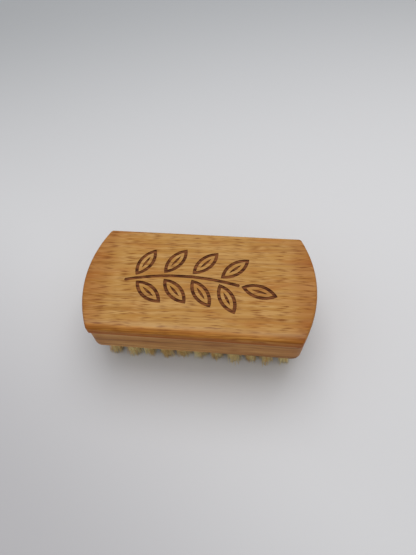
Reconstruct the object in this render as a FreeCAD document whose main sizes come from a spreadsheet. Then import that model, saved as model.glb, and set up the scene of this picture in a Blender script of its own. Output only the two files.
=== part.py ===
import FreeCAD, Part
import math
import os
import re

import Sketcher

# Nail brush lying on its bristles. Millimetres, X along the length, front at -Y, Z up.
# The origin is on the table, under the middle of the cover.

V = FreeCAD.Vector
TOP_Z = V(0, 0, 1)

# Driving dimensions: name, value, meaning
SIZES = [
    ("cover_length", "95", "overall length of the cover, over the middle of both arcs"),
    ("cover_width", "49", "overall width of the cover"),
    ("cover_thick", "5.2", "thickness of the cover"),
    ("end_bulge", "6", "how far the end arcs stand out past the corners"),
    ("cover_round", "1.8", "round-over on the long top edges"),
    ("end_ease", "1.2", "rounding of the cover's end edges and corners"),
    ("foot_ease", "0.7", "rounding of the cover's lower edge"),
    ("board_thick", "12.1", "thickness of the bristle board"),
    ("board_inset_end", "0.15", "bristle board shorter than the cover, at each end"),
    ("board_inset_side", "0.45", "bristle board narrower than the cover, at each side"),
    ("board_corner", "4", "radius of the bristle board's corners in plan"),
    ("board_ease", "0.8", "rounding of the bristle board's lower edge"),
    ("bristle_length", "13.7", "free length of the bristles"),
    ("tuft_rows", "5", "rows of tufts across the width"),
    ("tuft_columns", "11", "tufts in a row"),
    ("row_margin", "5.5", "board edge to the centre of the outer rows"),
    ("column_margin", "4.95", "board corner to the centre of the end tufts"),
    ("tuft_hole", "4.2", "diameter of the tuft hole"),
    ("drill_angle", "118", "point angle of the tuft hole"),
    ("web_thick", "4.2", "wood left between the tuft hole and the back"),
    ("tuft_clear", "0.05", "play between tuft and hole, each side"),
    ("tip_gap", "1.8", "space between the tips of neighbouring tufts"),
    ("wire_thick", "0.45", "diameter of the drawing wire"),
    ("wire_bend", "0.5", "bend radius of the wire at a hole's mouth"),
    ("loop_width", "1.5", "distance between the two legs of a wire loop"),
    ("loop_rise", "1.3", "tuft hole's shoulder to the middle of the loop's bend"),
    ("pull_clear", "0.2", "play between the loop and its hole, each side"),
    ("fold_clear", "0.15", "play between a tuft's fold and the loop hole"),
    ("channel_clear", "0.03", "play between the wire and the fold it runs through"),
    ("groove_side", "0.1", "play beside the wire in its groove"),
    ("groove_floor", "0.05", "play below the wire in its groove"),
    ("groove_sink", "0.1", "how far the wire lies below the board's back"),
    ("peg_reach", "3", "end tuft to the tucked-in end of the wire"),
    ("peg_drop", "2", "length of the tucked-in end of the wire"),
    ("motif_length", "46", "length of the engraved sprig's stem"),
    ("motif_sag", "3", "rise of the stem's curve"),
    ("motif_shift", "-7", "middle of the stem, along the cover"),
    ("leaf_spacing", "11.5", "distance between pairs of engraved leaves"),
    ("leaf_length", "15", "length of an engraved leaf"),
    ("leaf_width", "6.6", "width of an engraved leaf"),
    ("leaf_angle", "52", "angle between leaf and stem"),
    ("leaf_gap", "0.7", "bare wood between stem and leaf"),
    ("rib_length", "6.5", "length of a leaf's midrib"),
    ("rib_width", "1.1", "width of a leaf's midrib"),
    ("stroke_width", "1.4", "width of an engraved line"),
    ("engrave_depth", "0.3", "depth of the engraving"),
]

doc = FreeCAD.newDocument("nail_brush")
sheet = doc.addObject("Spreadsheet::Sheet", "sizes")
for number, (name, value, meaning) in enumerate(SIZES, start=1):
    sheet.set("A%d" % number, value)
    sheet.setAlias("A%d" % number, name)
    sheet.set("B%d" % number, meaning)
doc.recompute()


def size(name):
    """Return the number that a cell of the sheet holds."""
    return float(getattr(sheet, name))


def bind(thing, prop, formula):
    """Bind a property to a formula in which the sheet's names stand for their cells."""
    names = {name for name, value, meaning in SIZES}

    def cell(match):
        word = match.group(0)
        return "sizes." + word if word in names else word

    thing.setExpression(prop, re.sub(r"\b[a-z_]+\b", cell, formula))


# Formulas that several pieces share
BOARD_LENGTH = "( cover_length - 2 * board_inset_end )"
BOARD_WIDTH = "( cover_width - 2 * board_inset_side )"
ROW_SPAN = "( cover_width - 2 * board_inset_side - 2 * row_margin )"
COLUMN_SPAN = "( cover_length - 2 * board_inset_end - 2 * end_bulge - 2 * column_margin )"
PITCH = "( %s / ( tuft_columns - 1 ) )" % COLUMN_SPAN
ROW_PITCH = "( %s / ( tuft_rows - 1 ) )" % ROW_SPAN
PULL_RADIUS = "( loop_width / 2 + wire_thick / 2 + pull_clear )"
ROOT_RADIUS = "( tuft_hole / 2 - tuft_clear )"
FOLD_RADIUS = "( loop_width / 2 + wire_thick / 2 + pull_clear - fold_clear )"
TIP_RADIUS = "( min(%s; %s) / 2 - tip_gap / 2 )" % (PITCH, ROW_PITCH)
GROOVE_DEPTH = "( wire_thick + groove_floor + groove_sink )"

rows = int(round(size("tuft_rows")))
columns = int(round(size("tuft_columns")))
board_length = size("cover_length") - 2 * size("board_inset_end")
board_width = size("cover_width") - 2 * size("board_inset_side")
row_span = board_width - 2 * size("row_margin")
column_span = board_length - 2 * size("end_bulge") - 2 * size("column_margin")
pitch = column_span / (columns - 1)
row_pitch = row_span / (rows - 1)


def new_body(label):
    """Add an empty body whose label names the piece."""
    body = doc.addObject("PartDesign::Body", label)
    body.Label = label
    return body


def plane(body, role):
    """Return one of the body's own origin planes or axes."""
    for feature in body.Origin.OriginFeatures:
        if feature.Role == role:
            return feature
    raise ValueError(role)


def new_sketch(body, name, role):
    """Add a sketch that lies on one of the body's origin planes."""
    sketch = body.newObject("Sketcher::SketchObject", name)
    sketch.AttachmentSupport = [(plane(body, role), "")]
    sketch.MapMode = "FlatFace"
    return sketch


def add_profile(sketch, edges):
    """Add a closed chain of edges and join each end to the next start."""
    first = sketch.GeometryCount
    sketch.addGeometry(edges, False)
    count = len(edges)
    return [first + place for place in range(count)]


def join(sketch, here, there, kind="Coincident"):
    """Join the end of one edge to the start of the next."""
    sketch.addConstraint(Sketcher.Constraint(kind, here, 2, there, 1))


def measure(sketch, name, formula, kind, *where):
    """Add a named dimension and bind it to a formula."""
    value = where[-1]
    index = sketch.addConstraint(Sketcher.Constraint(kind, *where[:-1], value))
    sketch.renameConstraint(index, name)
    bind(sketch, "Constraints.%s" % name, formula)


def feature_on(body, kind, name, sketch):
    """Add a sketch-based feature."""
    feature = body.newObject(kind, name)
    feature.Profile = sketch
    sketch.Visibility = False
    return feature


def outline_points(length, width, bulge, corner):
    """Work out the plan outline with arc ends and rounded corners.

    Returns the end arc's radius and centre distance, the corner centre and the two points
    where the corner arc meets the side and the end arc, all for the right-hand back corner.
    """
    half = length / 2
    side = width / 2
    radius = (bulge ** 2 + side ** 2) / (2 * bulge)
    middle = half - radius
    corner_y = side - corner
    corner_x = middle + math.sqrt((radius - corner) ** 2 - corner_y ** 2)
    away = V(corner_x - middle, corner_y, 0)
    away.normalize()
    touch = V(middle, 0, 0) + away * radius
    return radius, middle, V(corner_x, corner_y, 0), V(corner_x, side, 0), touch


def arc_between(centre, radius, start, end):
    """Return the anticlockwise arc from one point to another about a centre."""
    first = math.atan2(start.y - centre.y, start.x - centre.x)
    last = math.atan2(end.y - centre.y, end.x - centre.x)
    if last <= first:
        last += 2 * math.pi
    return Part.ArcOfCircle(Part.Circle(centre, TOP_Z, radius), first, last)


def draw_outline(sketch, length, width, bulge, corner, texts):
    """Draw the plan outline of a board and bind its sizes.

    Args:
        length, width, bulge, corner: the sizes as numbers, for the first drawing
        texts: the formulas for length, width, bulge and corner radius
    """
    radius, middle, centre, side_end, touch = outline_points(length, width, bulge, corner)

    def turned(point, sign_x, sign_y):
        return V(point.x * sign_x, point.y * sign_y, 0)

    right = V(middle, 0, 0)
    left = V(-middle, 0, 0)
    edges = [
        Part.LineSegment(turned(side_end, -1, -1), turned(side_end, 1, -1)),
        arc_between(turned(centre, 1, -1), corner, turned(side_end, 1, -1), turned(touch, 1, -1)),
        arc_between(right, radius, turned(touch, 1, -1), touch),
        arc_between(centre, corner, touch, side_end),
        Part.LineSegment(side_end, turned(side_end, -1, 1)),
        arc_between(turned(centre, -1, 1), corner, turned(side_end, -1, 1), turned(touch, -1, 1)),
        arc_between(left, radius, turned(touch, -1, 1), turned(touch, -1, -1)),
        arc_between(turned(centre, -1, -1), corner, turned(touch, -1, -1), turned(side_end, -1, -1)),
    ]
    ids = add_profile(sketch, edges)
    for place, here in enumerate(ids):
        join(sketch, here, ids[(place + 1) % len(ids)], "Tangent")
    front, corner_a, end_right, corner_b, back, corner_c, end_left, corner_d = ids
    sketch.addConstraint(Sketcher.Constraint("Horizontal", front))
    sketch.addConstraint(Sketcher.Constraint("Horizontal", back))
    sketch.addConstraint(Sketcher.Constraint("PointOnObject", end_right, 3, -1))
    sketch.addConstraint(Sketcher.Constraint("Symmetric", end_right, 3, end_left, 3, -1, 1))
    sketch.addConstraint(Sketcher.Constraint("Equal", end_right, end_left))
    sketch.addConstraint(Sketcher.Constraint("Equal", corner_a, corner_b))
    sketch.addConstraint(Sketcher.Constraint("Equal", corner_a, corner_c))
    sketch.addConstraint(Sketcher.Constraint("Equal", corner_a, corner_d))
    long_text, wide_text, bulge_text, corner_text = texts
    arc_text = "( ( %s ^ 2 + ( %s / 2 ) ^ 2 ) / ( 2 * %s ) )" % (bulge_text, wide_text, bulge_text)
    reach_text = "( %s / 2 - %s )" % (long_text, arc_text)
    measure(sketch, "corner_radius", corner_text, "Radius", corner_a, corner)
    measure(sketch, "end_radius", arc_text, "Radius", end_right, radius)
    measure(sketch, "end_centre", "-1 * " + reach_text, "DistanceX", end_right, 3, -1, 1, -middle)
    measure(sketch, "back_side", wide_text + " / 2", "DistanceY", -1, 1, back, 1, width / 2)
    measure(sketch, "front_side", wide_text + " / 2", "DistanceY", front, 1, -1, 1, width / 2)


# Cover board


def draw_blank(sketch):
    """Draw the cover's plan before its corners are rounded: two straight sides and two end arcs."""
    half = size("cover_length") / 2
    side = size("cover_width") / 2
    bulge = size("end_bulge")
    radius = (bulge ** 2 + side ** 2) / (2 * bulge)
    middle = half - radius
    reach = half - bulge
    ids = add_profile(sketch, [
        Part.LineSegment(V(-reach, -side, 0), V(reach, -side, 0)),
        arc_between(V(middle, 0, 0), radius, V(reach, -side, 0), V(reach, side, 0)),
        Part.LineSegment(V(reach, side, 0), V(-reach, side, 0)),
        arc_between(V(-middle, 0, 0), radius, V(-reach, side, 0), V(-reach, -side, 0)),
    ])
    for place, here in enumerate(ids):
        join(sketch, here, ids[(place + 1) % len(ids)])
    front, end_right, back, end_left = ids
    sketch.addConstraint(Sketcher.Constraint("Horizontal", front))
    sketch.addConstraint(Sketcher.Constraint("Horizontal", back))
    sketch.addConstraint(Sketcher.Constraint("PointOnObject", end_right, 3, -1))
    sketch.addConstraint(Sketcher.Constraint("Symmetric", end_right, 3, end_left, 3, -1, 1))
    sketch.addConstraint(Sketcher.Constraint("Equal", end_right, end_left))
    arc_text = "( ( end_bulge ^ 2 + ( cover_width / 2 ) ^ 2 ) / ( 2 * end_bulge ) )"
    measure(sketch, "end_radius", arc_text, "Radius", end_right, radius)
    measure(sketch, "end_centre", "%s - cover_length / 2" % arc_text, "DistanceX", end_right, 3, -1, 1, -middle)
    measure(sketch, "back_side", "cover_width / 2", "DistanceY", -1, 1, back, 1, side)
    measure(sketch, "front_side", "cover_width / 2", "DistanceY", front, 1, -1, 1, side)


def rounded_corner(sketch, sign, side, height, radius, over):
    """Draw the waste between a square corner and its round-over, seen along the length."""
    centre = V(sign * (side - radius), height - radius, 0)
    crown = V(sign * (side - radius), height, 0)
    flank = V(sign * side, height - radius, 0)
    out_low = V(sign * (side + over), height - radius, 0)
    out_high = V(sign * (side + over), height + over, 0)
    crown_high = V(sign * (side - radius), height + over, 0)
    if sign > 0:
        arc = arc_between(centre, radius, flank, crown)
    else:
        arc = arc_between(centre, radius, crown, flank)
    sketch.addGeometry(arc, False)
    round_id = sketch.GeometryCount - 1
    sketch.addGeometry(Part.LineSegment(crown, crown_high), False)
    sketch.addGeometry(Part.LineSegment(crown_high, out_high), False)
    sketch.addGeometry(Part.LineSegment(out_high, out_low), False)
    sketch.addGeometry(Part.LineSegment(out_low, flank), False)
    up, top, outer, low = (round_id + step for step in (1, 2, 3, 4))
    crown_end, flank_end = (2, 1) if sign > 0 else (1, 2)
    fix = sketch.addConstraint
    fix(Sketcher.Constraint("Coincident", round_id, crown_end, up, 1))
    fix(Sketcher.Constraint("Coincident", up, 2, top, 1))
    fix(Sketcher.Constraint("Coincident", top, 2, outer, 1))
    fix(Sketcher.Constraint("Coincident", outer, 2, low, 1))
    fix(Sketcher.Constraint("Coincident", low, 2, round_id, flank_end))
    fix(Sketcher.Constraint("Vertical", up))
    fix(Sketcher.Constraint("Vertical", outer))
    fix(Sketcher.Constraint("Horizontal", top))
    fix(Sketcher.Constraint("Horizontal", low))
    fix(Sketcher.Constraint("Vertical", round_id, 3, round_id, crown_end))
    fix(Sketcher.Constraint("Horizontal", round_id, 3, round_id, flank_end))
    tag = "right" if sign > 0 else "left"
    away = "" if sign > 0 else "-1 * "
    inner = away + "( cover_width / 2 - cover_round )"
    outer_text = away + "( cover_width / 2 + %g )" % over
    measure(sketch, "round_" + tag, "cover_round", "Radius", round_id, radius)
    measure(sketch, "across_" + tag, inner, "DistanceX", -1, 1, round_id, 3, centre.x)
    measure(sketch, "height_" + tag, "cover_thick - cover_round", "DistanceY", -1, 1, round_id, 3, centre.y)
    measure(sketch, "outer_" + tag, outer_text, "DistanceX", -1, 1, outer, 1, out_high.x)
    measure(sketch, "over_" + tag, "cover_thick + %g" % over, "DistanceY", -1, 1, outer, 1, out_high.y)


def leaf_edges(foot, tip, width, inset):
    """Return the two arcs of a leaf between its foot and its tip, drawn in by a line's width."""
    along = tip - foot
    length = along.Length
    radius = (length ** 2 / 4 + width ** 2 / 4) / width
    drop = radius - width / 2
    across = V(-along.y, along.x, 0)
    across.normalize()
    middle = (foot + tip) / 2
    lower = middle - across * drop
    upper = middle + across * drop
    small = radius - inset
    half = math.sqrt(small ** 2 - drop ** 2)
    along.normalize()
    start = middle - along * half
    end = middle + along * half
    return [arc_between(lower, small, end, start), arc_between(upper, small, start, end)]


def draw_sprig(sketch):
    """Draw an arched stem with rounded ends and detached leaves in pairs, each an outline."""
    chord = size("motif_length")
    sag = size("motif_sag")
    stroke = size("stroke_width")
    pairs = max(1, int(round(chord / size("leaf_spacing"))))
    lean = math.radians(size("leaf_angle"))
    bend = (chord ** 2 / 4 + sag ** 2) / (2 * sag)
    centre = V(0, sag / 2 - bend, 0)
    half_turn = math.asin(chord / 2 / bend)

    def on_stem(turn, off):
        return centre + V(math.sin(turn), math.cos(turn), 0) * (bend + off)

    outer_left = on_stem(-half_turn, stroke / 2)
    outer_right = on_stem(half_turn, stroke / 2)
    inner_left = on_stem(-half_turn, -stroke / 2)
    inner_right = on_stem(half_turn, -stroke / 2)
    sketch.addGeometry(arc_between(centre, bend + stroke / 2, outer_right, outer_left), False)
    sketch.addGeometry(arc_between(centre, bend - stroke / 2, inner_right, inner_left), False)
    sketch.addGeometry(arc_between(on_stem(-half_turn, 0), stroke / 2, outer_left, inner_left), False)
    sketch.addGeometry(arc_between(on_stem(half_turn, 0), stroke / 2, inner_right, outer_right), False)
    gap = size("leaf_gap") + stroke / 2
    length = size("leaf_length")
    width = size("leaf_width")
    leaves = []
    for pair in range(pairs):
        turn = half_turn * (2 * (pair + 0.35) / pairs - 1)
        heading = V(math.cos(turn), -math.sin(turn), 0)
        normal = V(math.sin(turn), math.cos(turn), 0)
        for side in (1, -1):
            foot = on_stem(turn, side * gap)
            tip = foot + (heading * math.cos(lean) + normal * side * math.sin(lean)) * length
            leaves.append((foot, tip))
    last = on_stem(half_turn, 0)
    heading = V(math.cos(half_turn), -math.sin(half_turn), 0)
    foot = last + heading * gap
    leaves.append((foot, foot + heading * length))
    for foot, tip in leaves:
        sketch.addGeometry(leaf_edges(foot, tip, width, 0), False)
        sketch.addGeometry(leaf_edges(foot, tip, width, stroke), False)
        along = (tip - foot) / length * size("rib_length") / 2
        middle = (foot + tip) / 2
        sketch.addGeometry(leaf_edges(middle - along, middle + along, size("rib_width"), 0), False)


def edge_names(shape, wanted):
    """Return the names of the edges for which a test holds."""
    return ["Edge%d" % (place + 1) for place, edge in enumerate(shape.Edges) if wanted(edge)]


def flat_at(height):
    """Return a test for edges that lie level at a height."""
    def test(edge):
        box = edge.BoundBox
        return abs(box.ZMin - height) < 1e-4 and abs(box.ZMax - height) < 1e-4
    return test


cover = new_body("cover_board")
bind(cover, "Placement.Base.z", "bristle_length + board_thick")
cover_plan = new_sketch(cover, "cover_plan", "XY_Plane")
draw_blank(cover_plan)
cover_blank = feature_on(cover, "PartDesign::Pad", "cover_blank", cover_plan)
bind(cover_blank, "Length", "cover_thick")
doc.recompute()
plain_volume = cover_blank.Shape.Volume

cover_waste = new_sketch(cover, "cover_waste", "YZ_Plane")
for hand in (1, -1):
    rounded_corner(cover_waste, hand, size("cover_width") / 2, size("cover_thick"), size("cover_round"), 3)
cover_rounding = feature_on(cover, "PartDesign::Pocket", "cover_rounding", cover_waste)
cover_rounding.SideType = "Symmetric"
bind(cover_rounding, "Length", "cover_length + 20")
doc.recompute()


def end_rims(shape):
    """Return the names of the edges round both end walls, except along their foot."""
    rims = []
    for face in shape.Faces:
        if isinstance(face.Surface, Part.Cylinder) and abs(face.Surface.Axis.z) > 0.9:
            rims += [edge for edge in face.Edges if not flat_at(0)(edge)]
    return edge_names(shape, lambda edge: any(edge.isSame(rim) for rim in rims))


cover_ends = cover.newObject("PartDesign::Fillet", "cover_ends")
cover_ends.Base = (cover_rounding, end_rims(cover_rounding.Shape))
bind(cover_ends, "Radius", "end_ease")
doc.recompute()

cover_foot = cover.newObject("PartDesign::Fillet", "cover_foot")
cover_foot.Base = (cover_ends, edge_names(cover_ends.Shape, flat_at(0)))
bind(cover_foot, "Radius", "foot_ease")
doc.recompute()

sprig = new_sketch(cover, "sprig", "XY_Plane")
bind(sprig, "AttachmentOffset.Base.x", "motif_shift")
bind(sprig, "AttachmentOffset.Base.z", "cover_thick")
draw_sprig(sprig)
engraving = feature_on(cover, "PartDesign::Pocket", "engraving", sprig)
bind(engraving, "Length", "engrave_depth")
cover.Tip = engraving
doc.recompute()

# Bristle board with its stepped holes, wire grooves and peg holes

board = new_body("bristle_board")
bind(board, "Placement.Base.z", "bristle_length")
board_plan = new_sketch(board, "board_plan", "XY_Plane")
draw_outline(board_plan, board_length, board_width, size("end_bulge"), size("board_corner"),
             (BOARD_LENGTH, BOARD_WIDTH, "end_bulge", "board_corner"))
board_blank = feature_on(board, "PartDesign::Pad", "board_blank", board_plan)
bind(board_blank, "Length", "board_thick")
doc.recompute()
board_foot = board.newObject("PartDesign::Fillet", "board_foot")
board_foot.Base = (board_blank, edge_names(board_blank.Shape, flat_at(0)))
bind(board_foot, "Radius", "board_ease")
doc.recompute()


def polygon(sketch, points):
    """Draw a closed chain of straight lines through the points."""
    lines = []
    for place, point in enumerate(points):
        lines.append(Part.LineSegment(point, points[(place + 1) % len(points)]))
    ids = add_profile(sketch, lines)
    for place, here in enumerate(ids):
        join(sketch, here, ids[(place + 1) % len(ids)])
    return ids


hole_radius = size("tuft_hole") / 2
pull_radius = size("loop_width") / 2 + size("wire_thick") / 2 + size("pull_clear")
slope = math.tan(math.radians(size("drill_angle") / 2))
SLOPE = "tan(drill_angle / 2 * 1deg)"
shoulder = size("board_thick") - size("web_thick")

stepped = new_sketch(board, "stepped_hole", "XZ_Plane")
bind(stepped, "AttachmentOffset.Base.x", "-1 * %s / 2" % COLUMN_SPAN)
bind(stepped, "AttachmentOffset.Base.z", "%s / 2" % ROW_SPAN)
side = polygon(stepped, [
    V(0, -1, 0),
    V(hole_radius, -1, 0),
    V(hole_radius, shoulder, 0),
    V(pull_radius, shoulder + (hole_radius - pull_radius) / slope, 0),
    V(pull_radius, size("board_thick") + 1, 0),
    V(0, size("board_thick") + 1, 0),
])
for line in (side[0], side[4]):
    stepped.addConstraint(Sketcher.Constraint("Horizontal", line))
for line in (side[1], side[3]):
    stepped.addConstraint(Sketcher.Constraint("Vertical", line))
stepped.addConstraint(Sketcher.Constraint("PointOnObject", side[5], 1, -2))
stepped.addConstraint(Sketcher.Constraint("PointOnObject", side[0], 1, -2))
measure(stepped, "below", "1", "DistanceY", side[0], 1, -1, 1, 1)
measure(stepped, "hole_radius", "tuft_hole / 2", "DistanceX", -1, 1, side[1], 1, hole_radius)
measure(stepped, "shoulder", "board_thick - web_thick", "DistanceY", -1, 1, side[1], 2, shoulder)
measure(stepped, "pull_radius", PULL_RADIUS, "DistanceX", -1, 1, side[3], 1, pull_radius)
measure(stepped, "point", "board_thick - web_thick + ( tuft_hole / 2 - %s ) / %s" % (PULL_RADIUS, SLOPE),
        "DistanceY", -1, 1, side[2], 2, shoulder + (hole_radius - pull_radius) / slope)
measure(stepped, "above", "board_thick + 1", "DistanceY", -1, 1, side[3], 2, size("board_thick") + 1)
tuft_hole = feature_on(board, "PartDesign::Groove", "tuft_hole", stepped)
tuft_hole.ReferenceAxis = (stepped, ["V_Axis"])
doc.recompute()
tuft_holes = board.newObject("PartDesign::LinearPattern", "tuft_holes")
tuft_holes.Originals = [tuft_hole]
tuft_holes.Direction = (plane(board, "X_Axis"), [""])
tuft_holes.Direction2 = (plane(board, "Y_Axis"), [""])
bind(tuft_holes, "Length", COLUMN_SPAN)
bind(tuft_holes, "Length2", ROW_SPAN)
bind(tuft_holes, "Occurrences", "tuft_columns")
bind(tuft_holes, "Occurrences2", "tuft_rows")
board.Tip = tuft_holes
doc.recompute()

groove_half = size("wire_thick") / 2 + size("groove_side")
peg_radius = size("wire_thick") / 2 + size("pull_clear")
groove_end = column_span / 2 + size("peg_reach")
groove_plan = new_sketch(board, "groove_plan", "XY_Plane")
bind(groove_plan, "AttachmentOffset.Base.y", "-1 * %s / 2" % ROW_SPAN)
bind(groove_plan, "AttachmentOffset.Base.z", "board_thick")
slot = polygon(groove_plan, [
    V(-groove_end, -groove_half, 0),
    V(groove_end, -groove_half, 0),
    V(groove_end, groove_half, 0),
    V(-groove_end, groove_half, 0),
])
for line in (slot[0], slot[2]):
    groove_plan.addConstraint(Sketcher.Constraint("Horizontal", line))
for line in (slot[1], slot[3]):
    groove_plan.addConstraint(Sketcher.Constraint("Vertical", line))
groove_plan.addConstraint(Sketcher.Constraint("Symmetric", slot[0], 1, slot[2], 1, -1, 1))
measure(groove_plan, "long", "%s + 2 * peg_reach" % COLUMN_SPAN, "DistanceX", slot[0], 1, slot[0], 2,
        2 * groove_end)
measure(groove_plan, "wide", "wire_thick + 2 * groove_side", "DistanceY", slot[1], 1, slot[1], 2,
        2 * groove_half)
wire_groove = feature_on(board, "PartDesign::Pocket", "wire_groove", groove_plan)
bind(wire_groove, "Length", GROOVE_DEPTH)
doc.recompute()

peg_plan = new_sketch(board, "peg_plan", "XY_Plane")
bind(peg_plan, "AttachmentOffset.Base.y", "-1 * %s / 2" % ROW_SPAN)
bind(peg_plan, "AttachmentOffset.Base.z", "board_thick")
for hand in (-1, 1):
    peg_plan.addGeometry(Part.Circle(V(hand * groove_end, 0, 0), TOP_Z, peg_radius), False)
peg_plan.addConstraint(Sketcher.Constraint("PointOnObject", 0, 3, -1))
peg_plan.addConstraint(Sketcher.Constraint("Equal", 0, 1))
peg_plan.addConstraint(Sketcher.Constraint("Symmetric", 0, 3, 1, 3, -1, 1))
measure(peg_plan, "peg_radius", "wire_thick / 2 + pull_clear", "Radius", 0, peg_radius)
measure(peg_plan, "peg_place", "%s / 2 + peg_reach" % COLUMN_SPAN, "DistanceX", -1, 1, 1, 3, groove_end)
peg_hole = feature_on(board, "PartDesign::Pocket", "peg_hole", peg_plan)
bind(peg_hole, "Length", "%s + wire_bend + peg_drop" % GROOVE_DEPTH)
doc.recompute()

back_cuts = board.newObject("PartDesign::LinearPattern", "back_cuts")
back_cuts.Originals = [wire_groove, peg_hole]
back_cuts.Direction = (plane(board, "Y_Axis"), [""])
bind(back_cuts, "Length", ROW_SPAN)
bind(back_cuts, "Occurrences", "tuft_rows")
board.Tip = back_cuts
doc.recompute()

# Tufts: a folded bundle in its hole, spreading to a flat trimmed tip

root_radius = hole_radius - size("tuft_clear")
fold_radius = pull_radius - size("fold_clear")
tip_radius = min(pitch, row_pitch) / 2 - size("tip_gap") / 2
mouth_z = size("bristle_length")
root_top = mouth_z + shoulder - size("tuft_clear")
fold_foot = root_top + (root_radius - fold_radius) / slope
fold_top = mouth_z + shoulder + size("loop_rise")

ROOT_TOP = "( bristle_length + board_thick - web_thick - tuft_clear )"
FOLD_TOP = "bristle_length + board_thick - web_thick + loop_rise"


def make_tuft(label, row, column):
    """Make one tuft: a turned profile with the wire's channel cut through its fold.

    Args:
        label: name of the piece
        row: row number, counted from the front, from 0
        column: place in the row, counted from the left, from 0

    Returns:
        the tuft's body
    """
    body = new_body(label)
    bind(body, "Placement.Base.x", "%d * %s - %s / 2" % (column, PITCH, COLUMN_SPAN))
    bind(body, "Placement.Base.y", "%d * %s - %s / 2" % (row, ROW_PITCH, ROW_SPAN))
    sketch = new_sketch(body, label + "_side", "XZ_Plane")
    line = polygon(sketch, [
        V(0, 0, 0),
        V(tip_radius, 0, 0),
        V(root_radius, mouth_z, 0),
        V(root_radius, root_top, 0),
        V(fold_radius, fold_foot, 0),
        V(fold_radius, fold_top, 0),
        V(0, fold_top, 0),
    ])
    fix = sketch.addConstraint
    fix(Sketcher.Constraint("Coincident", line[0], 1, -1, 1))
    fix(Sketcher.Constraint("Horizontal", line[0]))
    fix(Sketcher.Constraint("Vertical", line[2]))
    fix(Sketcher.Constraint("Vertical", line[4]))
    fix(Sketcher.Constraint("Horizontal", line[5]))
    fix(Sketcher.Constraint("Vertical", line[6]))
    measure(sketch, "tip", TIP_RADIUS, "DistanceX", line[0], 1, line[0], 2, tip_radius)
    measure(sketch, "root", ROOT_RADIUS, "DistanceX", -1, 1, line[2], 1, root_radius)
    measure(sketch, "mouth", "bristle_length", "DistanceY", -1, 1, line[2], 1, mouth_z)
    measure(sketch, "seat", ROOT_TOP, "DistanceY", -1, 1, line[2], 2, root_top)
    measure(sketch, "fold", FOLD_RADIUS, "DistanceX", -1, 1, line[4], 1, fold_radius)
    measure(sketch, "neck", "%s + ( %s - %s ) / %s" % (ROOT_TOP, ROOT_RADIUS, FOLD_RADIUS, SLOPE),
            "DistanceY", -1, 1, line[4], 1, fold_foot)
    measure(sketch, "top", FOLD_TOP, "DistanceY", -1, 1, line[4], 2, fold_top)
    bundle = feature_on(body, "PartDesign::Revolution", label + "_bundle", sketch)
    bundle.ReferenceAxis = (sketch, ["V_Axis"])
    channel = body.newObject("PartDesign::SubtractiveTorus", label + "_channel")
    channel.AttachmentSupport = [(plane(body, "XY_Plane"), "")]
    channel.MapMode = "FlatFace"
    channel.AttachmentOffset = FreeCAD.Placement(V(0, 0, fold_top), FreeCAD.Rotation(V(1, 0, 0), 90))
    bind(channel, "AttachmentOffset.Base.z", FOLD_TOP)
    bind(channel, "Radius1", "loop_width / 2")
    bind(channel, "Radius2", "wire_thick / 2 + channel_clear")
    body.Tip = channel
    return body


tufts = []
for row in range(rows):
    for column in range(columns):
        tufts.append(make_tuft("tuft_%d_%02d" % (row + 1, column + 1), row, column))
doc.recompute()

# Drawing wires: each runs along its groove, dips round the fold of every tuft, ends in a peg


def row_wire():
    """Return one row's wire, its row along X at Y = 0, height measured from the board's foot."""
    thick = size("wire_thick")
    bend = size("wire_bend")
    half = size("loop_width") / 2
    level = size("board_thick") - size("groove_sink") - thick / 2
    loop_z = shoulder + size("loop_rise")
    edges = []

    def line(start, end):
        edges.append(Part.LineSegment(start, end).toShape())

    def quarter(start, end, centre):
        middle = (start + end) / 2 - centre
        middle.normalize()
        edges.append(Part.Arc(start, centre + middle * bend, end).toShape())

    peg = groove_end
    foot = level - bend - size("peg_drop")
    line(V(-peg, 0, foot), V(-peg, 0, level - bend))
    quarter(V(-peg, 0, level - bend), V(-peg + bend, 0, level), V(-peg + bend, 0, level - bend))
    here = V(-peg + bend, 0, level)
    for column in range(columns):
        x = column * pitch - column_span / 2
        down = x - half
        up = x + half
        line(here, V(down - bend, 0, level))
        quarter(V(down - bend, 0, level), V(down, 0, level - bend), V(down - bend, 0, level - bend))
        line(V(down, 0, level - bend), V(down, 0, loop_z))
        edges.append(Part.Arc(V(down, 0, loop_z), V(x, 0, loop_z - half), V(up, 0, loop_z)).toShape())
        line(V(up, 0, loop_z), V(up, 0, level - bend))
        quarter(V(up, 0, level - bend), V(up + bend, 0, level), V(up + bend, 0, level - bend))
        here = V(up + bend, 0, level)
    line(here, V(peg - bend, 0, level))
    quarter(V(peg - bend, 0, level), V(peg, 0, level - bend), V(peg - bend, 0, level - bend))
    line(V(peg, 0, level - bend), V(peg, 0, foot))
    path = Part.Wire(edges)
    ring = Part.Wire([Part.Circle(V(-peg, 0, foot), TOP_Z, thick / 2).toShape()])
    return path.makePipeShell([ring], True, False)


single = row_wire()
strands = []
for row in range(rows):
    strand = single.copy()
    strand.translate(V(0, row * row_pitch - row_span / 2, 0))
    strands.append(strand)
wires = doc.addObject("Part::Feature", "drawing_wires")
wires.Label = "drawing_wires"
wires.Shape = Part.makeCompound(strands)
bind(wires, "Placement.Base.z", "bristle_length")
doc.recompute()

# Checks and export

for thing in doc.Objects:
    for mark in ("Invalid", "Error"):
        if mark in thing.State:
            raise RuntimeError("%s is in state %s" % (thing.Label, thing.State))

if cover_rounding.Shape.Volume >= plain_volume:
    raise RuntimeError("the long edges of the cover are not rounded")
if engraving.Shape.Volume >= cover_foot.Shape.Volume:
    raise RuntimeError("the engraving is missing")
if board.Shape.Volume >= board_foot.Shape.Volume:
    raise RuntimeError("the board has no holes")

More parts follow.
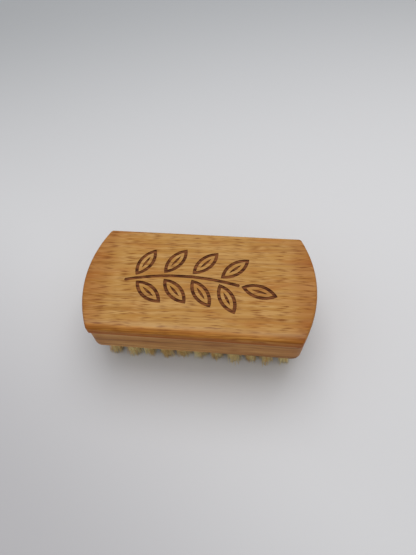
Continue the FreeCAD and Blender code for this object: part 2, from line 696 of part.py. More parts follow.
os.makedirs("parts", exist_ok=True)
for piece in [cover, board, wires] + tufts:
    shape = piece.Shape
    if shape.isNull() or not shape.isValid():
        raise RuntimeError("%s has no sound shape" % piece.Label)
    shape.exportStep("parts/%s.step" % piece.Label)
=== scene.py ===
import logging
from dataclasses import dataclass
from enum import Enum
from math import cos, pi, radians, sin, sqrt
from typing import Any, ClassVar

import bpy
import numpy as np
from mathutils import Matrix, Vector


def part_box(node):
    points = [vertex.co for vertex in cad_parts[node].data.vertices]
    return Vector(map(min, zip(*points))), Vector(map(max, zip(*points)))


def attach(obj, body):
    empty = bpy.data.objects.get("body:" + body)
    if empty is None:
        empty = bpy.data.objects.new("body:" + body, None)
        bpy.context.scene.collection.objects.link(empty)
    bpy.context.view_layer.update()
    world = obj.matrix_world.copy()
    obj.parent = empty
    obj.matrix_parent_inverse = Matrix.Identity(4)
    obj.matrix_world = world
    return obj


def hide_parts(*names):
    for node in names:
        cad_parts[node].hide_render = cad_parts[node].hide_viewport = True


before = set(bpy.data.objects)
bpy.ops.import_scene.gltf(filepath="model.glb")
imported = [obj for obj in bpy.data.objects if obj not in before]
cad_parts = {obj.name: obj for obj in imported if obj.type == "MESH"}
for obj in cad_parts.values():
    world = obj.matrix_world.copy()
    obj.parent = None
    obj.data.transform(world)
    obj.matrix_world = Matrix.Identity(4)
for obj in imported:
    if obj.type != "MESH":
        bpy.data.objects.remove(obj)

log = logging.getLogger("nail_brush")

MM = 0.001
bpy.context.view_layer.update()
BODY = "root"
Socket = bpy.types.NodeSocket
Tree = bpy.types.NodeTree


def linear(hex_colour: str) -> tuple[float, float, float, float]:
    """Turn an sRGB hex colour into linear light.

    Args:
        hex_colour: six hex digits, such as "B28450"

    Returns:
        red, green, blue and an alpha of 1
    """
    parts = [int(hex_colour[at:at + 2], 16) / 255 for at in (0, 2, 4)]
    flat = [c / 12.92 if c <= 0.04045 else ((c + 0.055) / 1.055) ** 2.4 for c in parts]
    return flat[0], flat[1], flat[2], 1.0


def add(tree: Tree, kind: str, *values: Any, out: int | str = 0, **settings: Any) -> Socket | None:
    """Add a shader node, set it up and link it.

    Args:
        tree: the node tree to add to
        kind: the node's class, without the ShaderNode prefix
        values: for the node's shown inputs in order, a socket to link, a number, a vector or a hex colour
        out: number or name of the output to return
        settings: the node's properties, and by their capital letter inputs with _ for a space

    Returns:
        the output, whose node gives the others, or nothing if the node has none
    """
    made = tree.nodes.new("ShaderNode" + kind)
    named = {name: value for name, value in settings.items() if name[0].isupper()}
    for name, value in settings.items():
        if name not in named:
            setattr(made, name, value)
    shown = [socket for socket in made.inputs if socket.enabled]
    pairs = list(zip(shown, values))
    pairs += [(made.inputs[name.replace("_", " ")], value) for name, value in named.items()]
    for socket, value in pairs:
        if isinstance(value, Socket):
            tree.links.new(value, socket)
        else:
            socket.default_value = linear(value) if isinstance(value, str) else value
    if isinstance(out, str):
        return made.outputs[out]
    outputs = [socket for socket in made.outputs if socket.enabled]
    return outputs[out] if outputs else None


def new_material(name: str) -> tuple[bpy.types.Material, Tree]:
    """Start an empty node material.

    Args:
        name: the finish's name

    Returns:
        the material and its node tree
    """
    material = bpy.data.materials.new(name)
    material.use_nodes = True
    material.node_tree.nodes.clear()
    return material, material.node_tree


def dress(node: str, material: bpy.types.Material) -> None:
    """Give a CAD node its finish.

    Args:
        node: the node's name
        material: the finish
    """
    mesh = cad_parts[node].data
    mesh.materials.clear()
    mesh.materials.append(material)
    log.info("%s dressed in %s", node, material.name)


class Cut(Enum):
    """How a board was sawn: the share of ray spindles and of long lines that its faces show."""

    FLAT = (1.0, 0.30)
    RIFT = (0.45, 0.90)

    @property
    def spindle_share(self) -> float:
        """Return the share of ray spindles."""
        return self.value[0]

    @property
    def line_share(self) -> float:
        """Return the share of long lines."""
        return self.value[1]


@dataclass(frozen=True)
class GrainPlace:
    """Where a point of a board lies and how its face looks, as sockets of the board's shader.

    There are millimetres to the right, to the front and above the table, the point on the unrolled sheet of
    grain and on the section across it, how far the face looks up, and two masks: level is 1 on faces along
    the grain, and end is 1 on its ends.
    """

    right: Socket
    front: Socket
    height: Socket
    sheet: Socket
    section: Socket
    upward: Socket
    level: Socket
    end: Socket


@dataclass(frozen=True)
class Streaks:
    """Soft streaks along the grain, of a usual length and width.

    A streak begins at one level of a noise and is full at another, where it has its share of strength.
    """

    length_mm: float
    width_mm: float
    begins: float
    full: float
    share: float = 1.0

    def strength(self, tree: Tree, spot: Socket, times: float = 1.0) -> Socket:
        """Spread the streaks over a sheet or a section of the grain.

        Args:
            tree: the node tree
            spot: the point there, in millimetres
            times: a factor on their strength

        Returns:
            the strength at the point
        """
        scaled = add(tree, "Mapping", spot, Scale=(1 / self.length_mm, 1 / self.width_mm, 1))
        noise = add(tree, "TexNoise", scaled, Scale=1.0, Detail=2.0)
        return add(tree, "MapRange", noise, self.begins, self.full, 0.0, self.share * times,
                   interpolation_type="SMOOTHSTEP")


@dataclass(frozen=True)
class Spindles:
    """Pointed spindles along the grain, one at most in each cell of a length and width.

    A spindle is where the distance to the cell's random point, counted along plus across in cells, is small:
    a diamond as slender as the cell, full in its core and gone at its rim. A part of the cells has none, and
    over the rest the strength grows with the cell's random number to its share.
    """

    length_mm: float
    width_mm: float
    absent: float
    share: float
    core: ClassVar[float] = 0.20
    rim: ClassVar[float] = 0.36
    growth: ClassVar[float] = 0.3
    scatter: ClassVar[float] = 0.9

    def strength(self, tree: Tree, place: GrainPlace, times: float) -> Socket:
        """Scatter the spindles over the faces along the grain.

        Args:
            tree: the node tree
            place: the point's place in the board
            times: a factor on their strength

        Returns:
            the strength at the point
        """
        scaled = add(tree, "Mapping", place.sheet, Scale=(1 / self.length_mm, 1 / self.width_mm, 1))
        cell = add(tree, "TexVoronoi", scaled, Scale=1.0, Randomness=self.scatter, voronoi_dimensions="2D",
                   distance="MANHATTAN")
        body = add(tree, "MapRange", cell, self.rim, self.core, 0.0, 1.0, interpolation_type="SMOOTHSTEP")
        number = add(tree, "SeparateColor", cell.node.outputs["Color"])
        strongest = self.absent + self.growth
        strength = add(tree, "MapRange", number, self.absent, strongest, 0.0, self.share * times)
        shown = add(tree, "Math", strength, place.level, operation="MULTIPLY")
        return add(tree, "Math", body, shown, operation="MULTIPLY")


@dataclass(frozen=True)
class Beech:
    """Oiled beech, planed, moulded and sanded.

    To the eye: honey brown with short dark ray spindles along the grain, pale streaks between them, a redder
    tone where oil soaked into the ends, sliced lines along a moulded front edge, growth rings and pores on
    the ends, scorched engraving, and a satin surface. Painted light is laid on too: a painted highlight
    (painted sheen) along the front of the flat, and painted shading towards the seam of the boards, which is
    painted shade on the cover and a painted highlight on the board. The pores are drawn coarser than real
    ones, so that they show. Distances are from the board's middle, and drops from its top; the tree's pith
    is placed across the board and above the table.
    """

    name: str
    cut: Cut
    ground: str
    pale: str
    bright: str
    deep: str
    spindle: str
    end_tint: str
    # painted shading towards the seam: painted shade on the cover, a painted highlight on the board
    seam_painted_shading: str
    seam_shading_drop_mm: tuple[float, float]
    pith_mm: tuple[float, float]
    tilt_deg: float
    edge_tint: str | None = None
    # painted highlight: a sheen screened over the front strip of the flat
    painted_sheen_light: str | None = None
    scorch: tuple[str, str] | None = None
    streak: Streaks = Streaks(34.0, 1.8, 0.36, 0.68)
    patch: Streaks = Streaks(20.0, 7.0, 0.46, 0.74, 0.7)
    line: Streaks = Streaks(70.0, 1.2, 0.50, 0.68)
    sliced: Streaks = Streaks(22.0, 0.9, 0.46, 0.62, 0.5)
    char: Streaks = Streaks(5.0, 0.9, 0.36, 0.64)
    hair: Streaks = Streaks(6.0, 0.4, 0.3, 0.7)
    pore: Streaks = Streaks(0.3, 0.3, 0.5, 0.72, 0.5)
    ray: Spindles = Spindles(9.0, 0.9, 0.35, 0.62)
    speck: Spindles = Spindles(6.0, 0.7, 0.3, 0.37)
    gleam: Spindles = Spindles(10.0, 0.9, 0.3, 0.34)
    wave_mm: tuple[float, float] = (16.0, 7.0)
    wave_depth_mm: float = 1.3
    end_mm: tuple[float, float] = (34.0, 47.0)
    end_ragged_mm: float = 5.0
    edge_mm: tuple[float, float] = (21.5, 23.4)
    painted_sheen_mm: tuple[float, float] = (19.8, 21.8)
    painted_sheen_share: float = 0.75
    seam_shading_share: float = 0.7
    burn_drop_mm: tuple[float, float] = (0.02, 0.10)
    burn_floor_mm: float = 0.5
    burn_half_mm: tuple[float, float] = (40.0, 20.0)
    end_facing: tuple[float, float] = (0.6, 0.8)
    flat_facing: tuple[float, float] = (0.5, 0.95)
    under_facing: float = -0.5
    dent: float = 0.8
    bump: float = 0.3
    bump_mm: float = 0.06
    roughness: float = 0.45
    open_roughness: float = 0.15
    char_roughness: float = 0.75
    specular: float = 0.12
    ior: float = 1.48

    def material(self, top_mm: float) -> bpy.types.Material:
        """Build the wood's shader on object coordinates, in millimetres along and across the grain.

        Args:
            top_mm: height of the board's top above the table

        Returns:
            the finished material
        """
        material, tree = new_material(self.name)
        place = self._place(tree, top_mm)
        tone, streak, relief = self._figure(tree, place)
        tone = self._soak_ends(tree, place, tone, streak)
        tone = self._paint_front_sheen_and_lines(tree, place, tone)
        # Painted shading towards the seam of the boards: painted shade on the cover's lower flank, a painted
        # highlight along the board's top edge.
        begins, full = (top_mm - drop for drop in self.seam_shading_drop_mm)
        seam = add(tree, "MapRange", place.height, begins, full, 0.0, self.seam_shading_share,
                   interpolation_type="SMOOTHSTEP")
        tone = add(tree, "Mix", seam, tone, self.seam_painted_shading, data_type="RGBA")
        pore = add(tree, "Math", self.pore.strength(tree, place.section), place.end, operation="MULTIPLY")
        tone = add(tree, "Mix", pore, tone, self.spindle, data_type="RGBA")
        rough = add(tree, "MapRange", relief, 0.0, 1.0, self.roughness, self.roughness + self.open_roughness)
        if self.scorch:
            burnt = self._burnt(tree, place, top_mm)
            char = add(tree, "Mix", self.char.strength(tree, place.sheet), *self.scorch, data_type="RGBA")
            tone = add(tree, "Mix", burnt, tone, char, data_type="RGBA")
            rough = add(tree, "Mix", burnt, rough, self.char_roughness)
        hair = self.hair.strength(tree, place.sheet)
        dented = add(tree, "Math", relief, -self.dent, hair, operation="MULTIPLY_ADD")
        bump = add(tree, "Bump", Strength=self.bump, Distance=self.bump_mm * MM, Height=dented)
        shader = add(tree, "BsdfPrincipled", Base_Color=tone, Roughness=rough, Normal=bump, IOR=self.ior,
                     Specular_IOR_Level=self.specular)
        add(tree, "OutputMaterial", shader)
        return material

    def _place(self, tree: Tree, top_mm: float) -> GrainPlace:
        """Find a point's place in the board, unrolled so that the figure runs on over the long edges.

        The sheet's first coordinate runs along the grain. The second is the distance across plus the drop
        below the top, taken to the same side, except on the underside, and on the ends the distance from the
        tree's middle, which draws its rings. A slow wave bends it as grain does.

        Args:
            tree: the node tree
            top_mm: height of the board's top above the table

        Returns:
            the point's place
        """
        spot = add(tree, "TexCoord", out="Object")
        in_mm = (1 / MM, 1 / MM, 1 / MM)
        turned = add(tree, "Mapping", spot, Rotation=(0, 0, -radians(self.tilt_deg)), Scale=in_mm)
        along, across, height = add(tree, "SeparateXYZ", turned).node.outputs
        right, back, _ = add(tree, "SeparateXYZ", add(tree, "Mapping", spot, Scale=in_mm)).node.outputs
        endways, _, upward = add(tree, "SeparateXYZ", spot.node.outputs["Normal"]).node.outputs
        end = add(tree, "MapRange", add(tree, "Math", endways, operation="ABSOLUTE"), *self.end_facing)
        drop = add(tree, "Math", top_mm, height, operation="SUBTRACT")
        hand = add(tree, "Math", across, operation="SIGN")
        shown = add(tree, "Math", upward, self.under_facing, operation="GREATER_THAN")
        side = add(tree, "Math", hand, shown, operation="MULTIPLY")
        wrap = add(tree, "Math", drop, side, across, operation="MULTIPLY_ADD")
        section = add(tree, "CombineXYZ", across, height)
        ring = add(tree, "VectorMath", section, (*self.pith_mm, 0.0), operation="DISTANCE", out="Value")
        wrap = add(tree, "Mix", end, wrap, ring)
        slow = add(tree, "Mapping", add(tree, "CombineXYZ", along, wrap),
                   Scale=(1 / self.wave_mm[0], 1 / self.wave_mm[1], 1))
        wave = add(tree, "TexNoise", slow, Scale=1.0, Detail=1.0)
        bent = add(tree, "Math", wave, self.wave_depth_mm, wrap, operation="MULTIPLY_ADD")
        sheet = add(tree, "CombineXYZ", along, bent)
        front = add(tree, "Math", back, -1.0, operation="MULTIPLY")
        level = add(tree, "Math", 1.0, end, operation="SUBTRACT")
        return GrainPlace(right, front, height, sheet, section, upward, level, end)

    def _figure(self, tree: Tree, place: GrainPlace) -> tuple[Socket, Socket, Socket]:
        """Draw the grain's streaks, patches and lines, and its ray spindles over them.

        Args:
            tree: the node tree
            place: the point's place in the board

        Returns:
            the colour, the strength of the pale streaks and that of the dark spindles
        """
        streak = self.streak.strength(tree, place.sheet)
        tone = add(tree, "Mix", streak, self.ground, self.pale, data_type="RGBA")
        speck = self.speck.strength(tree, place, self.cut.spindle_share)
        ray = self.ray.strength(tree, place, self.cut.spindle_share)
        layers = (
            (self.patch.strength(tree, place.sheet), self.deep),
            (self.line.strength(tree, place.sheet, self.cut.line_share), self.spindle),
            (self.gleam.strength(tree, place, self.cut.spindle_share), self.bright),
            (speck, self.spindle),
            (ray, self.spindle),
        )
        for share, colour in layers:
            tone = add(tree, "Mix", share, tone, colour, data_type="RGBA")
        return tone, streak, add(tree, "Math", ray, speck, operation="ADD")

    def _soak_ends(self, tree: Tree, place: GrainPlace, tone: Socket, streak: Socket) -> Socket:
        """Redden the ends where oil soaked in, further along the pale streaks.

        Args:
            tree: the node tree
            place: the point's place in the board
            tone: the colour so far
            streak: strength of the pale streaks

        Returns:
            the colour with its soaked ends
        """
        away = add(tree, "Math", place.right, operation="ABSOLUTE")
        ragged = add(tree, "Math", streak, self.end_ragged_mm, away, operation="MULTIPLY_ADD")
        soaked = add(tree, "MapRange", ragged, *self.end_mm, interpolation_type="SMOOTHSTEP")
        return add(tree, "Mix", soaked, tone, self.end_tint, data_type="RGBA", blend_type="MULTIPLY")

    def _paint_front_sheen_and_lines(self, tree: Tree, place: GrainPlace, tone: Socket) -> Socket:
        """Paint a highlight, a sheen, along the front of the flat, and draw the moulded edge's sliced lines.

        Args:
            tree: the node tree
            place: the point's place in the board
            tone: the colour so far

        Returns:
            the colour with its painted sheen and sliced lines
        """
        # Painted highlight: a sheen screened over the front strip of the flat.
        if self.painted_sheen_light:
            near = add(tree, "MapRange", place.front, *self.painted_sheen_mm, 0.0, self.painted_sheen_share,
                       interpolation_type="SMOOTHSTEP")
            flat = add(tree, "MapRange", place.upward, *self.flat_facing)
            sheen_on_flat = add(tree, "Math", near, flat, operation="MULTIPLY")
            tone = add(tree, "Mix", sheen_on_flat, tone, self.painted_sheen_light, data_type="RGBA", blend_type="SCREEN")
        if self.edge_tint:
            moulded = add(tree, "MapRange", place.front, *self.edge_mm, interpolation_type="SMOOTHSTEP")
            tone = add(tree, "Mix", moulded, tone, self.edge_tint, data_type="RGBA", blend_type="MULTIPLY")
            sliced = self.sliced.strength(tree, place.sheet)
            sliced = add(tree, "Math", sliced, moulded, operation="MULTIPLY")
            tone = add(tree, "Mix", sliced, tone, self.spindle, data_type="RGBA")
        return tone

    def _burnt(self, tree: Tree, place: GrainPlace, top_mm: float) -> Socket:
        """Find the burnt lines: what lies just below the top inside its flat middle.

        Args:
            tree: the node tree
            place: the point's place in the board
            top_mm: height of the board's top above the table

        Returns:
            1 in the lines and 0 elsewhere
        """
        begins, full = (top_mm - drop for drop in self.burn_drop_mm)
        sunk = add(tree, "MapRange", place.height, begins, full)
        near = add(tree, "Math", place.height, top_mm - self.burn_floor_mm, operation="GREATER_THAN")
        burnt = add(tree, "Math", sunk, near, operation="MULTIPLY")
        for way, half in zip((place.right, place.front), self.burn_half_mm):
            apart = add(tree, "Math", way, operation="ABSOLUTE")
            inside = add(tree, "Math", apart, half, operation="LESS_THAN")
            burnt = add(tree, "Math", burnt, inside, operation="MULTIPLY")
        return burnt


@dataclass(frozen=True)
class PlantFibre:
    """Bleached plant fibre, drawn, folded and trimmed flat.

    To the eye: cream straw that differs from lock to lock and from fibre to fibre, with a faint gloss.
    Darker and browner towards the root: painted shade under the board.
    """

    name: str = "plant_fibre_cream"
    pale: str = "FFF2B2"
    straw: str = "D29E4E"
    # painted shade: the colour the fibres darken to near the board
    root: str = "885012"
    root_shade_fade: tuple[float, float] = (0.62, 0.08)
    root_shade_share: float = 0.65
    roughness: float = 0.5
    ior: float = 1.53
    tone_layer: ClassVar[str] = "fibre_tone"
    down_layer: ClassVar[str] = "fibre_down"

    def material(self) -> bpy.types.Material:
        """Build the fibre's shader on the tone and the way down that each fibre carries.

        Returns:
            the finished material
        """
        material, tree = new_material(self.name)
        tone = add(tree, "Attribute", attribute_name=self.tone_layer, out="Fac")
        down = add(tree, "Attribute", attribute_name=self.down_layer, out="Fac")
        colour = add(tree, "Mix", tone, self.straw, self.pale, data_type="RGBA")
        # Painted shade: darker and browner towards the root, under the board.
        shade = add(tree, "MapRange", down, *self.root_shade_fade, 0.0, self.root_shade_share,
                    interpolation_type="SMOOTHSTEP")
        colour = add(tree, "Mix", shade, colour, self.root, data_type="RGBA")
        shader = add(tree, "BsdfPrincipled", Base_Color=colour, Roughness=self.roughness, IOR=self.ior)
        add(tree, "OutputMaterial", shader)
        return material


@dataclass(frozen=True)
class DrawnBrass:
    """Soft brass wire, drawn and lightly tarnished.

    To the eye: dull yellow metal with brown patches.
    """

    name: str = "drawn_brass"
    bright: str = "C7A45A"
    tarnish: str = "8A6A36"
    patch_mm: float = 6.0
    patch_levels: tuple[float, float] = (0.4, 0.7)
    roughness: float = 0.34

    def material(self) -> bpy.types.Material:
        """Build the wire's shader with its tarnish in patches.

        Returns:
            the finished material
        """
        material, tree = new_material(self.name)
        spot = add(tree, "TexCoord", out="Object")
        patch = add(tree, "TexNoise", spot, Scale=1 / (self.patch_mm * MM), Detail=3.0)
        share = add(tree, "MapRange", patch, *self.patch_levels)
        colour = add(tree, "Mix", share, self.bright, self.tarnish, data_type="RGBA")
        shader = add(tree, "BsdfPrincipled", Base_Color=colour, Roughness=self.roughness, Metallic=1.0)
        add(tree, "OutputMaterial", shader)
        return material


@dataclass(frozen=True)
class PaperSweep:
    """Matt white paper under the brush.

    To the eye: pale grey, lightest round the brush and greyer far back and towards the near left; the greys
    are painted shade, light falling off away from the brush. Each grey grows between two distances back, on
    lines that slant by a share of the distance to the right.
    """

    name: str = "paper_sweep"
    pale: str = "D4D4D6"
    # painted shade: the grey the paper falls off to far back
    far: str = "A7A9AC"
    # painted shade: the grey the paper falls off to towards the near left
    near: str = "B8B7BA"
    far_slant: float = -0.3
    far_m: tuple[float, float] = (0.0, 0.38)
    near_slant: float = 0.75
    near_m: tuple[float, float] = (-0.02, -0.16)
    roughness: float = 0.9
    specular: float = 0.1

    def material(self) -> bpy.types.Material:
        """Build the paper's shader, its tone and painted shade set by the place on the floor in metres.

        Returns:
            the finished material
        """
        material, tree = new_material(self.name)
        right, back, _ = add(tree, "SeparateXYZ", add(tree, "TexCoord", out="Object")).node.outputs
        tone = self.pale
        # Painted shade: the paper greys away from the brush as the light falls off.
        painted_falloff = (
            (self.far_slant, self.far_m, self.far),
            (self.near_slant, self.near_m, self.near),
        )
        for slant, reach, grey in painted_falloff:
            away = add(tree, "Math", right, slant, back, operation="MULTIPLY_ADD")
            share = add(tree, "MapRange", away, *reach, interpolation_type="SMOOTHSTEP")
            tone = add(tree, "Mix", share, tone, grey, data_type="RGBA")
        shader = add(tree, "BsdfPrincipled", Base_Color=tone, Roughness=self.roughness,
                     Specular_IOR_Level=self.specular)
        add(tree, "OutputMaterial", shader)
        return material


@dataclass
class CoverBoard:
    """The arc-ended cover with its moulded long edges and its burnt-in sprig, of flat-sawn beech."""

    node: str = "cover_board"
    finish: Beech = Beech(
        name="oiled_beech_cover",
        cut=Cut.FLAT,
        ground="AD7C3A",
        pale="BC9054",
        bright="CBA268",
        deep="A86C2E",
        spindle="723A08",
        end_tint="EAD6C6",
        # painted shade: darker on the lower flank above the seam
        seam_painted_shading="924A12",
        seam_shading_drop_mm=(1.6, 4.6),
        pith_mm=(4.0, -10.0),
        tilt_deg=2.2,
        edge_tint="FFE6B4",
        # painted sheen: a highlight screened over the front of the flat
        painted_sheen_light="36383A",
        scorch=("7E4B28", "47220F"),
    )

    def build(self) -> None:
        """Dress the cover."""
        dress(self.node, self.finish.material(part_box(self.node)[1].z / MM))


@dataclass
class BristleBoard:
    """The thicker lower board that holds the tufts, of rift-sawn beech."""

    node: str = "bristle_board"
    finish: Beech = Beech(
        name="oiled_beech_board",
        cut=Cut.RIFT,
        ground="A4703C",
        pale="BC8C52",
        bright="C4945C",
        deep="925C30",
        spindle="744824",
        end_tint="F2E6DC",
        # painted highlight: lighter along the board's top edge at the seam
        seam_painted_shading="CC9C68",
        seam_shading_drop_mm=(1.2, 0.6),
        pith_mm=(-45.0, -25.0),
        tilt_deg=0.4,
        streak=Streaks(60.0, 3.0, 0.36, 0.68),
        line=Streaks(90.0, 1.8, 0.50, 0.68),
    )

    def build(self) -> None:
        """Dress the board."""
        dress(self.node, self.finish.material(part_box(self.node)[1].z / MM))


@dataclass
class WireSet:
    """The hidden wires that hold the tufts."""

    node: str = "drawing_wires"
    finish: DrawnBrass = DrawnBrass()

    def build(self) -> None:
        """Dress the wires."""
        dress(self.node, self.finish.material())


@dataclass
class TuftRow:
    """One row of tufts, each a bundle of separate fibres that spread from its hole.

    Each fibre is a four-sided rod as thick as fine plant fibre, and together they fill about two fifths of
    the hole.
    """

    row: int
    columns: int
    finish: bpy.types.Material
    fibres: int = 450
    locks: int = 24
    sides: int = 4
    stations: int = 5
    seed: int = 700
    root_radius_mm: float = 1.9
    fibre_mm: float = 0.14
    thickness: tuple[float, float] = (0.8, 1.2)
    tip_share: float = 0.7
    in_hole_mm: float = 3.0
    off_table_mm: float = 0.02
    uneven_mm: float = 0.9
    longest_cut_mm: float = 4.5
    gather: float = 0.2
    flare: float = 0.85
    stray_mm: float = 0.6
    lock_stray_mm: float = 0.5
    lean_mm: float = 0.3
    comb_mm: tuple[float, float] = (1.0, -0.5)
    bow_mm: float = 0.12
    straight: float = 0.12
    swing_power: float = 1.6
    lock_tone: float = 0.65
    tone_spread: float = 0.5
    golden_turn: ClassVar[float] = pi * (3.0 - sqrt(5.0))

    def nodes(self) -> list[str]:
        """Return the names of the row's solids, from left to right."""
        return ["tuft_%d_%02d" % (self.row, column + 1) for column in range(self.columns)]

    def spiral(self, count: int) -> np.ndarray:
        """Spread points over a disc of radius 1 on a sunflower spiral.

        The radius grows with the square root of the count and each next point turns by the golden angle.

        Args:
            count: the number of points

        Returns:
            points by number and axis
        """
        number = np.arange(count)
        radius = np.sqrt((number + 0.5) / count)
        turn = number * self.golden_turn
        return np.stack([radius * np.cos(turn), radius * np.sin(turn)], axis=-1)

    def spread(self, draw: np.random.Generator,
               tip_radius_mm: float) -> tuple[np.ndarray, np.ndarray, np.ndarray]:
        """Place the roots and tips of every tuft's fibres round its middle.

        Roots lie on a spiral that is turned at random for each tuft. The fibres of a tuft part into locks,
        which lie on such a spiral too. Each tip is its root's point drawn towards the middle of the nearest
        lock and spread to the flare, plus the comb, the tuft's lean, the lock's stray and its own.

        Args:
            draw: the random numbers
            tip_radius_mm: radius of the tuft's solid at its tip

        Returns:
            roots and tips by tuft, fibre and axis in millimetres, and each fibre's lock
        """
        turn = draw.uniform(0, 2 * pi, self.columns)
        turned = np.array([[np.cos(turn), np.sin(turn)], [-np.sin(turn), np.cos(turn)]]).transpose(2, 0, 1)
        disc = self.spiral(self.fibres) @ turned
        middles = self.spiral(self.locks)
        apart = disc[:, :, None] - middles
        lock = (apart ** 2).sum(axis=-1).argmin(axis=-1)
        sway = draw.normal(0, self.lock_stray_mm, (self.columns, self.locks, 2))
        sway = np.take_along_axis(sway, lock[..., None], axis=1)
        lean = draw.normal(0, self.lean_mm, (self.columns, 1, 2))
        stray = draw.normal(0, self.stray_mm, disc.shape)
        drawn = disc + (middles[lock] - disc) * self.gather
        tip = drawn * tip_radius_mm * self.flare + self.comb_mm + lean + sway + stray
        return disc * self.root_radius_mm, tip, lock

    def lines(self, draw: np.random.Generator) -> tuple[np.ndarray, np.ndarray, np.ndarray]:
        """Work out every fibre's line.

        A fibre leaves its hole straight and swings out to its tip with a power of the way down, plus a random
        bow that follows half a sine wave. Each is cut short by an exponential random length.

        Args:
            draw: the random numbers

        Returns:
            points by fibre, station and axis in metres, the way down from 0 to 1 for each station, and each
            fibre's lock, numbered through the row
        """
        boxes = np.array([[list(corner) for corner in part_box(name)] for name in self.nodes()]) / MM
        centres = boxes[:, :, :2].mean(axis=1)
        tip_radius = (boxes[0, 1, 0] - boxes[0, 0, 0]) / 2
        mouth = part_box("bristle_board")[0].z / MM
        root, tip, lock = self.spread(draw, tip_radius)
        bow = draw.normal(0, self.bow_mm, root.shape)
        way = np.linspace(0, 1, self.stations)
        swing = np.clip((way - self.straight) / (1 - self.straight), 0, 1) ** self.swing_power
        arch = np.sin(pi * way)
        level = root[:, :, None] + (tip - root)[:, :, None] * swing[:, None] + bow[:, :, None] * arch[:, None]
        level = level + centres[:, None, None]
        cut = draw.exponential(self.uneven_mm, (self.columns, self.fibres, 1))
        start = mouth + self.in_hole_mm
        height = start + (np.minimum(cut, self.longest_cut_mm) + self.off_table_mm - start) * way
        points = np.concatenate([level, height[..., None]], axis=-1) * MM
        number = lock + np.arange(self.columns)[:, None] * self.locks
        return points.reshape(-1, self.stations, 3), way, number.ravel()

    def build(self) -> None:
        """Carry a small ring along every fibre's line, close both ends and give each fibre its tone."""
        draw = np.random.default_rng(self.seed + self.row)
        line, way, lock = self.lines(draw)
        strands = len(line)
        angle = 2 * pi * np.arange(self.sides) / self.sides
        ring = np.stack([np.cos(angle), np.sin(angle), np.zeros(self.sides)], axis=-1)
        thick = (1 - (1 - self.tip_share) * way) * self.fibre_mm / 2 * MM
        size = thick * draw.uniform(*self.thickness, (strands, 1))
        points = line[:, :, None] + ring * size[:, :, None, None]
        per = self.stations * self.sides
        at = np.arange(per).reshape(self.stations, self.sides)
        after = np.roll(at, -1, axis=1)
        walls = np.stack([at[:-1], at[1:], after[1:], after[:-1]], axis=-1).reshape(-1, 4)
        first = (np.arange(strands) * per)[:, None]
        quads = (walls + first[:, None]).reshape(-1, 4)
        faces = quads.tolist() + (at[0] + first).tolist() + (at[-1][::-1] + first).tolist()
        mesh = bpy.data.meshes.new("bristle_row_%d" % self.row)
        mesh.from_pydata(points.reshape(-1, 3).tolist(), [], faces)
        of_lock = draw.beta(self.tone_spread, self.tone_spread, self.columns * self.locks)[lock]
        of_fibre = draw.beta(self.tone_spread, self.tone_spread, strands)
        tone = np.repeat(self.lock_tone * of_lock + (1 - self.lock_tone) * of_fibre, per)
        down = np.tile(np.repeat(way, self.sides), strands)
        for name, values in ((PlantFibre.tone_layer, tone), (PlantFibre.down_layer, down)):
            layer = mesh.attributes.new(name, "FLOAT", "POINT")
            layer.data.foreach_set("value", values.astype(np.float32))
        mesh.polygons.foreach_set("use_smooth", np.ones(len(mesh.polygons), dtype=bool))
        mesh.materials.append(self.finish)
        mesh.update()
        piece = bpy.data.objects.new("bristle_row_%d" % self.row, mesh)
        bpy.context.scene.collection.objects.link(piece)
        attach(piece, BODY)
        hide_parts(*self.nodes())
        log.info("%s: %d fibres in %d tufts", piece.name, strands, self.columns)


@dataclass
class BristleField:
    """All the rows of tufts, from the front to the back."""

    rows: int = 5
    columns: int = 11
    finish: PlantFibre = PlantFibre()

    def build(self) -> None:
        """Build the rows in one finish."""
        material = self.finish.material()
        for row in range(1, self.rows + 1):
            TuftRow(row, self.columns, material).build()


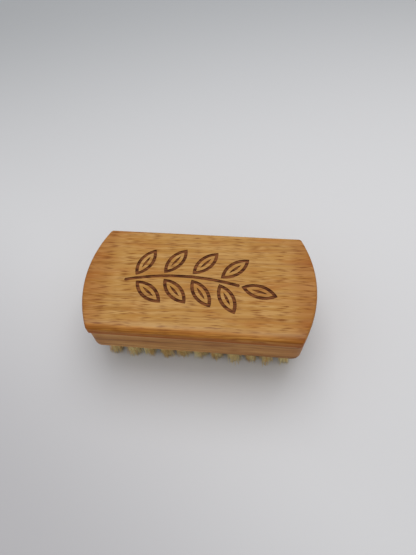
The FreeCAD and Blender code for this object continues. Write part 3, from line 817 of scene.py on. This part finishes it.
@dataclass
class Studio:
    """Paper floor, one large soft lamp above and behind, an even pale surround and the camera."""

    floor_half_m: float = 3.0
    floor_finish: PaperSweep = PaperSweep()
    surround: str = "FFFFFF"
    surround_strength: float = 0.66
    lamp_power_w: float = 1.6
    lamp_size_m: float = 0.5
    lamp_place_m: tuple[float, float, float] = (0.03, 0.22, 0.55)
    lamp_aim_m: tuple[float, float, float] = (0.0, 0.0, 0.02)
    azimuth_deg: float = 8.919
    elevation_deg: float = 56.822
    roll_deg: float = -4.186
    aim_mm: tuple[float, float, float] = (3.608, 1.589, 31.0)
    distance_mm: float = 168.394
    focal_px: float = 412.715
    frame_px: tuple[int, int] = (416, 555)
    sensor_mm: float = 36.0
    nearest_m: float = 0.01

    def floor(self) -> None:
        """Lay the paper floor under the bristle tips."""
        half = self.floor_half_m
        corners = [(-half, -half, 0), (half, -half, 0), (half, half, 0), (-half, half, 0)]
        mesh = bpy.data.meshes.new("paper_floor")
        mesh.from_pydata(corners, [], [(0, 1, 2, 3)])
        mesh.materials.append(self.floor_finish.material())
        floor = bpy.data.objects.new("paper_floor", mesh)
        bpy.context.scene.collection.objects.link(floor)

    def lights(self) -> None:
        """Hang the soft lamp and set the even surround."""
        world = bpy.data.worlds.new("pale_room")
        world.use_nodes = True
        sky = world.node_tree.nodes["Background"]
        sky.inputs["Color"].default_value = linear(self.surround)
        sky.inputs["Strength"].default_value = self.surround_strength
        bpy.context.scene.world = world
        lamp = bpy.data.lights.new("soft_lamp", "AREA")
        lamp.energy = self.lamp_power_w
        lamp.shape = "SQUARE"
        lamp.size = self.lamp_size_m
        holder = bpy.data.objects.new("soft_lamp", lamp)
        holder.location = self.lamp_place_m
        toward = Vector(self.lamp_aim_m) - Vector(self.lamp_place_m)
        holder.rotation_euler = toward.to_track_quat("-Z", "Y").to_euler()
        bpy.context.scene.collection.objects.link(holder)

    def camera(self) -> None:
        """Set the camera at the photograph's viewing angle."""
        turn = radians(self.azimuth_deg)
        tilt = radians(self.elevation_deg)
        back = Vector((sin(turn) * cos(tilt), -cos(turn) * cos(tilt), sin(tilt)))
        right = (-back).cross(Vector((0, 0, 1))).normalized()
        right = Matrix.Rotation(radians(self.roll_deg), 3, back) @ right
        up = back.cross(right)
        data = bpy.data.cameras.new("camera")
        data.sensor_width = self.sensor_mm
        data.lens = self.focal_px * self.sensor_mm / max(self.frame_px)
        data.clip_start = self.nearest_m
        holder = bpy.data.objects.new("camera", data)
        place = (Vector(self.aim_mm) + back * self.distance_mm) * MM
        holder.matrix_world = Matrix.Translation(place) @ Matrix((right, up, back)).transposed().to_4x4()
        bpy.context.scene.collection.objects.link(holder)
        bpy.context.scene.camera = holder


def main() -> None:
    """Build the brush from its boards to its bristles, then the studio round it."""
    logging.basicConfig(level=logging.INFO, format="%(message)s")
    bpy.context.scene.view_settings.view_transform = "Standard"
    CoverBoard().build()
    BristleBoard().build()
    WireSet().build()
    BristleField().build()
    studio = Studio()
    studio.floor()
    studio.lights()
    studio.camera()


if __name__ == "__main__":
    main()
